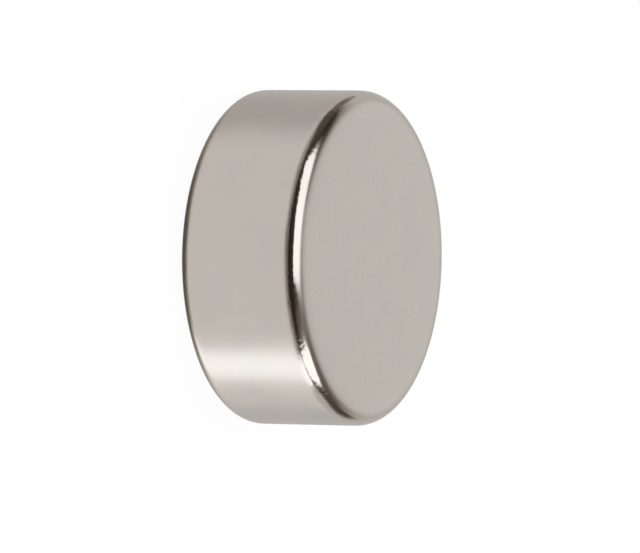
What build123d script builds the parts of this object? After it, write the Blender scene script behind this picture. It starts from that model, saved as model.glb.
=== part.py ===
from build123d import *

import os

# Disc magnet: one sintered body, nickel plated all over. Millimetres.
# It stands on its lower pole face. The origin is that face's centre, and +Z is the disc's axis.

DIAMETER = 10.0  # across the wall, over the plating
THICKNESS = 4.0  # from pole face to pole face, over the plating
EDGE_RADIUS = 0.4  # rounding that tumbling leaves on both rims


def magnet_disc():
    """A short cylinder with both of its rims rounded."""
    blank = Cylinder(
        radius=DIAMETER / 2,
        height=THICKNESS,
        align=(Align.CENTER, Align.CENTER, Align.MIN),
    )
    rims = blank.edges().filter_by(GeomType.CIRCLE)
    return fillet(rims, radius=EDGE_RADIUS)


os.makedirs("parts", exist_ok=True)
for name, piece in {"magnet_disc": magnet_disc()}.items():
    piece.label = name
    export_step(piece, f"parts/{name}.step")
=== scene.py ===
"""The looks of the disc magnet: a nickel-plated disc on a white floor, in soft studio light.

Metres, in the frame of the CAD part: the disc stands on its lower pole face and its axis is +Z.
"""

import math

import bpy
from mathutils import Matrix, Vector, noise


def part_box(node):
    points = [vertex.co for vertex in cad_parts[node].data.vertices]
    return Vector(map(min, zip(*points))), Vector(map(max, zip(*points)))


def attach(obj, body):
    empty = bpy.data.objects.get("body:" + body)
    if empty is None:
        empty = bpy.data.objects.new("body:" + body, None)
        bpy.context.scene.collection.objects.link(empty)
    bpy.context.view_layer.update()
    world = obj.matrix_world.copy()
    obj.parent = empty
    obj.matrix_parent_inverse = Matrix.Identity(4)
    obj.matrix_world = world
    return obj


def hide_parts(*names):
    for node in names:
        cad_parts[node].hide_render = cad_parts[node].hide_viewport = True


MM = 0.001

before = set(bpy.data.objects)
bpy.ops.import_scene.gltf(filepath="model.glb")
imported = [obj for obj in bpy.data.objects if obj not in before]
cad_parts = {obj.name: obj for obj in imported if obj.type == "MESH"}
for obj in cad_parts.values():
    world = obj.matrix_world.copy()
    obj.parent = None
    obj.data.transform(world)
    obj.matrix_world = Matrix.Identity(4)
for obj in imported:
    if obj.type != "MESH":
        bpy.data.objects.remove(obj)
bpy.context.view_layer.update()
disc_low, disc_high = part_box("magnet_disc")
DISC_RADIUS = (disc_high.x - disc_low.x) / 2
DISC_HEIGHT = disc_high.z - disc_low.z
DISC_CENTRE = (disc_low + disc_high) / 2


# ---------------------------------------------------------------- the disc's surface

RIM_ARC = 1.5 * MM  # how far one rim's rounding goes, measured over it from the wall on
EVEN_FROM = 0.20 * MM  # between these two it bends evenly
EVEN_TO = 0.54 * MM
WALL_FADE = 0.06 * MM  # before them its bend dies away over the wall, to a third in this length
FACE_FADE = 0.18 * MM  # and past them over the face
CROWN = 0.03 * MM  # how much higher the middle of a face is than its edge, apart from the bend
CROWN_POWER = 6  # the higher it is, the closer to the edge the face starts to fall
WALL_EASE = 0.02 * MM  # how far in from the wall a rim's shine and wear take to grow
SHINE_EASE = 0.05 * MM  # how far down from the face its shine takes
WEAR_EASE = 0.16 * MM  # how far down from the face its wear takes
BEND_STEPS = 2000  # steps in which a rim's bend is added up
RIM_ROWS = 44  # how many of them, about, become rows of the mesh
ROW_SPREAD = 1.4  # above 1 puts those rows closer together at the wall
WALL_ROWS = 6
AROUND = 720
FACE_RINGS = (0.1, 0.25, 0.4, 0.55, 0.7, 0.8, 0.9, 0.96)  # shares of a face inside its rim


def rim_section():
    """Points of one rim from the wall to the face, as (inward, down) from the sharp corner.

    They lie closer together in the half by the wall, where the rim bends most.
    """
    length = RIM_ARC / BEND_STEPS
    bends = []
    for step in range(BEND_STEPS):
        along = (step + 0.5) * length
        before = max(0.0, EVEN_FROM - along)
        past = max(0.0, along - EVEN_TO)
        bends.append(math.exp(-before / WALL_FADE - past / FACE_FADE))
    whole = sum(bends)
    kept = {round(BEND_STEPS * (row / RIM_ROWS) ** ROW_SPREAD) for row in range(RIM_ROWS + 1)}
    turned, inward, risen = 0.0, 0.0, 0.0
    points = [(inward, risen)]
    for step, bend in enumerate(bends, start=1):
        part = math.pi / 2 * bend / whole
        inward += math.sin(turned + part / 2) * length
        risen += math.cos(turned + part / 2) * length
        turned += part
        if step in kept:
            points.append((inward, risen))
    return [(across, risen - height) for across, height in points]


def disc_section():
    """The disc's half section, from the lower face's centre round the wall to the upper face's centre.

    Each point is (radius, height, polished, worn). The last two are 1 over a rim's middle and 0 on the
    flats: how bright tumbling has left it, and how deep its marks go there.
    """
    rim = rim_section()
    flat = DISC_RADIUS - rim[-1][0]
    upper = []
    for inward, down in rim:
        from_wall = min(1.0, inward / WALL_EASE)
        polished = from_wall * min(1.0, down / SHINE_EASE)
        worn = from_wall * min(1.0, down / WEAR_EASE) ** 2
        upper.append((DISC_RADIUS - inward, DISC_HEIGHT - down, polished, worn))
    upper += [(flat * share, DISC_HEIGHT, 0.0, 0.0) for share in reversed(FACE_RINGS)]
    upper = [
        (radius, height - CROWN * (radius / DISC_RADIUS) ** CROWN_POWER, *marks)
        for radius, height, *marks in upper
    ]
    lower = [(radius, DISC_HEIGHT - height, *marks) for radius, height, *marks in reversed(upper)]
    wall_low, wall_high = lower[-1][1], upper[0][1]
    wall = []
    for row in range(1, WALL_ROWS):
        height = wall_low + (wall_high - wall_low) * row / WALL_ROWS
        wall.append((DISC_RADIUS, height, 0.0, 0.0))
    return lower + wall + upper


DENT_DEPTH = 0.007 * MM
DENT_SIZE = 0.11 * MM
WAVE_DEPTH = 0.009 * MM
WAVE_SIZE = 1.3 * MM


def tumbling(point, worn):
    """How far tumbling has pressed the surface in at a point of a rim: shallow waves and small dents."""
    wave = 0.5 + 0.5 * noise.noise(point / WAVE_SIZE)
    dent = abs(noise.noise(point / DENT_SIZE))
    return worn * (WAVE_DEPTH * wave + DENT_DEPTH * dent)


def build_disc():
    """The disc as one closed mesh, turned from its section, with the tumbling marks in its rims."""
    section = disc_section()
    middle = DISC_HEIGHT / 2
    vertices, rim_share = [Vector((0, 0, 0))], [0.0]
    for radius, height, polished, worn in section:
        for step in range(AROUND):
            angle = 2 * math.pi * step / AROUND
            point = Vector((radius * math.cos(angle), radius * math.sin(angle), height))
            if worn > 0:
                side = 1 if height > middle else -1
                inward = Vector((-math.cos(angle), -math.sin(angle), -side)).normalized()
                point += inward * tumbling(point, worn)
            vertices.append(point)
            rim_share.append(polished)
    vertices.append(Vector((0, 0, DISC_HEIGHT)))
    rim_share.append(0.0)
    faces = []
    last = len(vertices) - 1
    top = last - AROUND
    for step in range(AROUND):
        after = (step + 1) % AROUND
        faces.append((0, 1 + after, 1 + step))
        faces.append((last, top + step, top + after))
        for row in range(len(section) - 1):
            low, high = 1 + row * AROUND, 1 + (row + 1) * AROUND
            faces.append((low + step, low + after, high + after, high + step))
    mesh = bpy.data.meshes.new("plated_disc")
    mesh.from_pydata(vertices, [], faces)
    mesh.validate()
    rim = mesh.attributes.new("rim", "FLOAT", "POINT")
    rim.data.foreach_set("value", rim_share)
    mesh.shade_smooth()
    disc = bpy.data.objects.new("plated_disc", mesh)
    bpy.context.scene.collection.objects.link(disc)
    return disc


# ---------------------------------------------------------------- node helpers


def feed(tree, socket, value):
    """Sets an input socket to a number or a colour, or links another node's output to it."""
    if isinstance(value, bpy.types.NodeSocket):
        tree.links.new(value, socket)
    else:
        socket.default_value = value


def maths(tree, operation, first, second=0.0, third=0.0):
    """A Math node's result."""
    node = tree.nodes.new("ShaderNodeMath")
    node.operation = operation
    for socket, value in zip(node.inputs, (first, second, third)):
        feed(tree, socket, value)
    return node.outputs[0]


def dot(tree, vector, fixed):
    """The dot product of a vector socket and a fixed vector."""
    node = tree.nodes.new("ShaderNodeVectorMath")
    node.operation = "DOT_PRODUCT"
    feed(tree, node.inputs[0], vector)
    feed(tree, node.inputs[1], fixed)
    return node.outputs["Value"]


def ease(tree, value, start, end, from_value=0.0, to_value=1.0):
    """A smooth step from from_value to to_value as value goes from start to end."""
    node = tree.nodes.new("ShaderNodeMapRange")
    node.interpolation_type = "SMOOTHSTEP"
    for name, number in (
        ("Value", value),
        ("From Min", start),
        ("From Max", end),
        ("To Min", from_value),
        ("To Max", to_value),
    ):
        feed(tree, node.inputs[name], number)
    return node.outputs["Result"]


def speckle(tree, coordinates, size, detail=2.0, roughness=0.5):
    """A noise texture's value, with features about size metres across."""
    node = tree.nodes.new("ShaderNodeTexNoise")
    feed(tree, node.inputs["Vector"], coordinates)
    feed(tree, node.inputs["Scale"], 1 / size)
    feed(tree, node.inputs["Detail"], detail)
    feed(tree, node.inputs["Roughness"], roughness)
    return node.outputs["Fac"]


def bump(tree, height, strength, distance, normal=None):
    """A Bump node's normal, on top of another one's if that is given."""
    node = tree.nodes.new("ShaderNodeBump")
    feed(tree, node.inputs["Height"], height)
    feed(tree, node.inputs["Strength"], strength)
    feed(tree, node.inputs["Distance"], distance)
    if normal is not None:
        feed(tree, node.inputs["Normal"], normal)
    return node.outputs["Normal"]


def blend_colour(tree, share, first, second):
    """A colour between two, by share."""
    node = tree.nodes.new("ShaderNodeMix")
    node.data_type = "RGBA"
    feed(tree, node.inputs[0], share)
    feed(tree, node.inputs[6], first)
    feed(tree, node.inputs[7], second)
    return node.outputs[2]


def mixed_shader(tree, share, first, second):
    """A Mix Shader's output."""
    node = tree.nodes.new("ShaderNodeMixShader")
    feed(tree, node.inputs[0], share)
    feed(tree, node.inputs[1], first)
    feed(tree, node.inputs[2], second)
    return node.outputs[0]


def plainly_seen(tree):
    """1 for the camera's rays, also through glass, and 0 for all others."""
    rays = tree.nodes.new("ShaderNodeLightPath").outputs
    return maths(tree, "MAXIMUM", rays["Is Camera Ray"], rays["Is Transmission Ray"])


# ---------------------------------------------------------------- materials

NICKEL = (0.624, 0.585, 0.537, 1.0)
NICKEL_WARM = (0.670, 0.616, 0.552, 1.0)
FLAT_ROUGHNESS = 0.27
RIM_ROUGHNESS = 0.14
ROUGHNESS_SPREAD = 0.02
CLOUD_SIZE = 1.1 * MM
SWELL_SIZE = 0.9 * MM
SWELL_DEPTH = 0.004 * MM
SWELL_STRENGTH = 0.5
GRAIN_SIZE = 0.05 * MM
GRAIN_DEPTH = 0.001 * MM
GRAIN_STRENGTH = 0.12


def nickel_material():
    """Nickel plate over a ground and tumbled disc: satin on the flats, brighter on the rims."""
    material = bpy.data.materials.new("nickel_plate")
    material.use_nodes = True
    tree = material.node_tree
    shader = tree.nodes["Principled BSDF"]
    shader.inputs["Metallic"].default_value = 1.0
    place = tree.nodes.new("ShaderNodeTexCoord").outputs["Object"]
    attribute = tree.nodes.new("ShaderNodeAttribute")
    attribute.attribute_name = "rim"
    rim = attribute.outputs["Fac"]

    # faint clouds in its colour and gloss
    clouds = speckle(tree, place, CLOUD_SIZE, detail=3.0, roughness=0.5)
    tint = blend_colour(tree, ease(tree, clouds, 0.3, 0.7), NICKEL, NICKEL_WARM)
    feed(tree, shader.inputs["Base Color"], tint)

    smoothest, roughest = FLAT_ROUGHNESS - ROUGHNESS_SPREAD, FLAT_ROUGHNESS + ROUGHNESS_SPREAD
    satin = ease(tree, clouds, 0.25, 0.75, smoothest, roughest)
    bright = maths(tree, "MULTIPLY", rim, RIM_ROUGHNESS - FLAT_ROUGHNESS)
    feed(tree, shader.inputs["Roughness"], maths(tree, "ADD", satin, bright))

    # what is left of the grinding: a slow swell and a fine grain
    grain = speckle(tree, place, GRAIN_SIZE, detail=2.0)
    swell = speckle(tree, place, SWELL_SIZE, detail=1.0)
    normal = bump(tree, swell, SWELL_STRENGTH, SWELL_DEPTH)
    normal = bump(tree, grain, GRAIN_STRENGTH, GRAIN_DEPTH, normal)
    feed(tree, shader.inputs["Normal"], normal)
    return material


# ---------------------------------------------------------------- floor, studio and camera

PLAIN = (1.0, 1.0, 1.0, 1.0)
FLOOR_HALF = 4.0  # metres from its middle to an edge
FLOOR_WHITE = 0.8
SEEN_WHITE = 0.88  # the share of a seen floor that is plain white, so that its shadow stays faint
WHITE_GLOW = 1.075  # how bright that share is, which makes up for the paper's duller share


def floor_material():
    """White paper that the camera sees as white, with the disc's shadow left in it."""
    material = bpy.data.materials.new("white_floor")
    material.use_nodes = True
    tree = material.node_tree
    tree.nodes.clear()
    paper = tree.nodes.new("ShaderNodeBsdfDiffuse")
    paper.inputs["Color"].default_value = (FLOOR_WHITE, FLOOR_WHITE, FLOOR_WHITE, 1.0)
    white = tree.nodes.new("ShaderNodeEmission")
    white.inputs["Color"].default_value = PLAIN
    white.inputs["Strength"].default_value = WHITE_GLOW
    share = maths(tree, "MULTIPLY", plainly_seen(tree), SEEN_WHITE)
    surface = mixed_shader(tree, share, paper.outputs[0], white.outputs[0])
    output = tree.nodes.new("ShaderNodeOutputMaterial")
    feed(tree, output.inputs["Surface"], surface)
    return material


def build_floor():
    """A large plane under the disc. The metal's reflections miss it and show the studio below."""
    half = FLOOR_HALF
    mesh = bpy.data.meshes.new("floor")
    corners = [(-half, -half, 0), (half, -half, 0), (half, half, 0), (-half, half, 0)]
    mesh.from_pydata(corners, [], [(0, 1, 2, 3)])
    mesh.materials.append(floor_material())
    floor = bpy.data.objects.new("floor", mesh)
    floor.location.z = disc_low.z
    bpy.context.scene.collection.objects.link(floor)
    floor.visible_glossy = False


def heading(azimuth, elevation):
    """A unit vector. Azimuth 0 is -Y, the camera's side, and 90 is +X; elevation is above the floor."""
    a, e = math.radians(azimuth), math.radians(elevation)
    return Vector((math.sin(a) * math.cos(e), -math.cos(a) * math.cos(e), math.sin(e)))


def lobe(tree, direction, azimuth, elevation, inner, outer):
    """1 within inner degrees of a heading, easing to 0 at outer degrees."""
    near = dot(tree, direction, heading(azimuth, elevation))
    return ease(tree, near, math.cos(math.radians(outer)), math.cos(math.radians(inner)))


def panel(tree, direction, corners, soft):
    """1 on a soft-edged panel round the disc and 0 beside it.

    corners are the headings of its corners in turn, and soft is the width of its edge in degrees.
    """
    headings = [heading(*corner) for corner in corners]
    middle = sum(headings, Vector((0, 0, 0)))
    reach = math.sin(math.radians(soft / 2))
    share = 1.0
    for first, second in zip(headings, headings[1:] + headings[:1]):
        inward = first.cross(second).normalized()
        if inward.dot(middle) < 0:
            inward.negate()
        share = maths(tree, "MULTIPLY", share, ease(tree, dot(tree, direction, inward), -reach, reach))
    return share


PALE = 0.84
DARK = 0.025
PALE_BELOW = -26  # degrees above the horizon where the studio starts to darken
DARK_ABOVE = 32  # and where it is darkest
BROWNISH = (1.15, 0.98, 0.82, 1.0)
BLUISH = (0.97, 1.0, 1.04, 1.0)


def build_world():
    """The studio round the disc: pale below and behind, dark round the camera, and two softboxes.

    What the camera sees past the floor is plain white instead. Headings and widths are in degrees,
    and each call of lay ends with a tone, where 1 is white.
    """
    world = bpy.data.worlds.new("studio")
    bpy.context.scene.world = world
    world.use_nodes = True
    tree = world.node_tree
    tree.nodes.clear()
    direction = tree.nodes.new("ShaderNodeTexCoord").outputs["Generated"]
    height = dot(tree, direction, Vector((0, 0, 1)))

    # pale below the horizon, dark above it
    low, high = math.sin(math.radians(PALE_BELOW)), math.sin(math.radians(DARK_ABOVE))
    level = ease(tree, height, low, high, PALE, DARK)

    def lay(level, share, tone):
        """Covers part of what is there with another tone."""
        keep = maths(tree, "SUBTRACT", 1.0, share)
        kept = maths(tree, "MULTIPLY", level, keep)
        return maths(tree, "MULTIPLY_ADD", share, tone, kept)

    # a pale surface at the right, beyond the card
    level = lay(level, lobe(tree, direction, 110, 0, 8, 24), 0.60)
    # dark flags at both sides
    level = lay(level, lobe(tree, direction, 134, 23, 6, 26), 0.07)
    level = lay(level, lobe(tree, direction, -106, 18, 6, 25), 0.09)
    # the backdrop behind the disc, brightest where its upper face mirrors it
    level = lay(level, lobe(tree, direction, -160, 0, 18, 44), 0.67)
    level = lay(level, lobe(tree, direction, 180, -10, 30, 62), 0.61)
    level = lay(level, lobe(tree, direction, 180, 26, 1, 19), 0.83)
    # low behind the disc it is a little duller
    level = lay(level, lobe(tree, direction, 180, -30, 24, 56), 0.60)
    # the flags' ends, in front of the backdrop, which draw out the tips of the rim's dark line
    level = lay(level, lobe(tree, direction, 136, 18, 3, 13), 0.07)
    level = lay(level, lobe(tree, direction, -128, 8, 4, 15), 0.17)
    # the bright card low at the right, which makes the band along the wall
    level = lay(level, panel(tree, direction, [(68, -60), (69, 13), (93, 11), (94, -60)], 6), 1.63)
    # a duller stretch low at the far left
    level = lay(level, lobe(tree, direction, -123, -27, 4, 34), 0.55)
    # nothing lights the disc from straight below
    level = lay(level, lobe(tree, direction, -120, -84, 4, 58), 0.12)
    # haze between the softboxes
    level = lay(level, lobe(tree, direction, 150, 62, 8, 26), 0.20)
    level = lay(level, lobe(tree, direction, 82, 56, 6, 24), 0.13)
    # the softbox overhead
    overhead = [(24, 65), (-73, 34), (-112, 50), (-153, 52), (178, 48), (165, 65)]
    level = lay(level, panel(tree, direction, overhead, 4), 1.52)
    # the softbox at the right
    right = [(71, 16), (69, 34), (104, 62), (146, 57), (126, 43), (88, 17)]
    level = lay(level, panel(tree, direction, right, 4), 1.65)

    strength = lay(level, plainly_seen(tree), 1.0)
    # its dark parts are brownish, and its softboxes and card faintly blue
    shade = blend_colour(tree, ease(tree, strength, 0.0, 0.7), BROWNISH, PLAIN)
    shade = blend_colour(tree, ease(tree, strength, 1.0, 1.5), shade, BLUISH)
    background = tree.nodes.new("ShaderNodeBackground")
    feed(tree, background.inputs["Strength"], strength)
    feed(tree, background.inputs["Color"], shade)
    output = tree.nodes.new("ShaderNodeOutputWorld")
    tree.links.new(background.outputs[0], output.inputs["Surface"])


VIEW_ELEVATION = 27.25  # degrees from the floor up to the camera
VIEW_ROLL = 0.85
SENSOR_WIDTH = 36.0
CAMERA_DISTANCE = 0.3
PICTURE_WIDTH = 19.12 * MM  # what the picture's width spans at the disc
DISC_LEFT_OF_MIDDLE = 0.20 * MM
DISC_ABOVE_MIDDLE = 0.566 * MM


def build_camera():
    """A long lens. It lies on its side, so that the disc's axis runs across the picture."""
    data = bpy.data.cameras.new("camera")
    data.sensor_width = SENSOR_WIDTH
    data.lens = SENSOR_WIDTH * CAMERA_DISTANCE / PICTURE_WIDTH
    data.clip_start, data.clip_end = 0.01, 20.0
    camera = bpy.data.objects.new("camera", data)
    back = heading(0, VIEW_ELEVATION)
    up = Vector((-1, 0, 0))
    up.rotate(Matrix.Rotation(math.radians(VIEW_ROLL), 3, back))
    right = up.cross(back)
    place = DISC_CENTRE + back * CAMERA_DISTANCE
    place += right * DISC_LEFT_OF_MIDDLE - up * DISC_ABOVE_MIDDLE
    camera.matrix_world = Matrix.Translation(place) @ Matrix((right, up, back)).transposed().to_4x4()
    bpy.context.scene.collection.objects.link(camera)
    bpy.context.scene.camera = camera


disc = build_disc()
disc.data.materials.append(nickel_material())
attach(disc, "root")
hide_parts("magnet_disc")

build_floor()
build_world()
build_camera()
bpy.context.scene.view_settings.view_transform = "Standard"
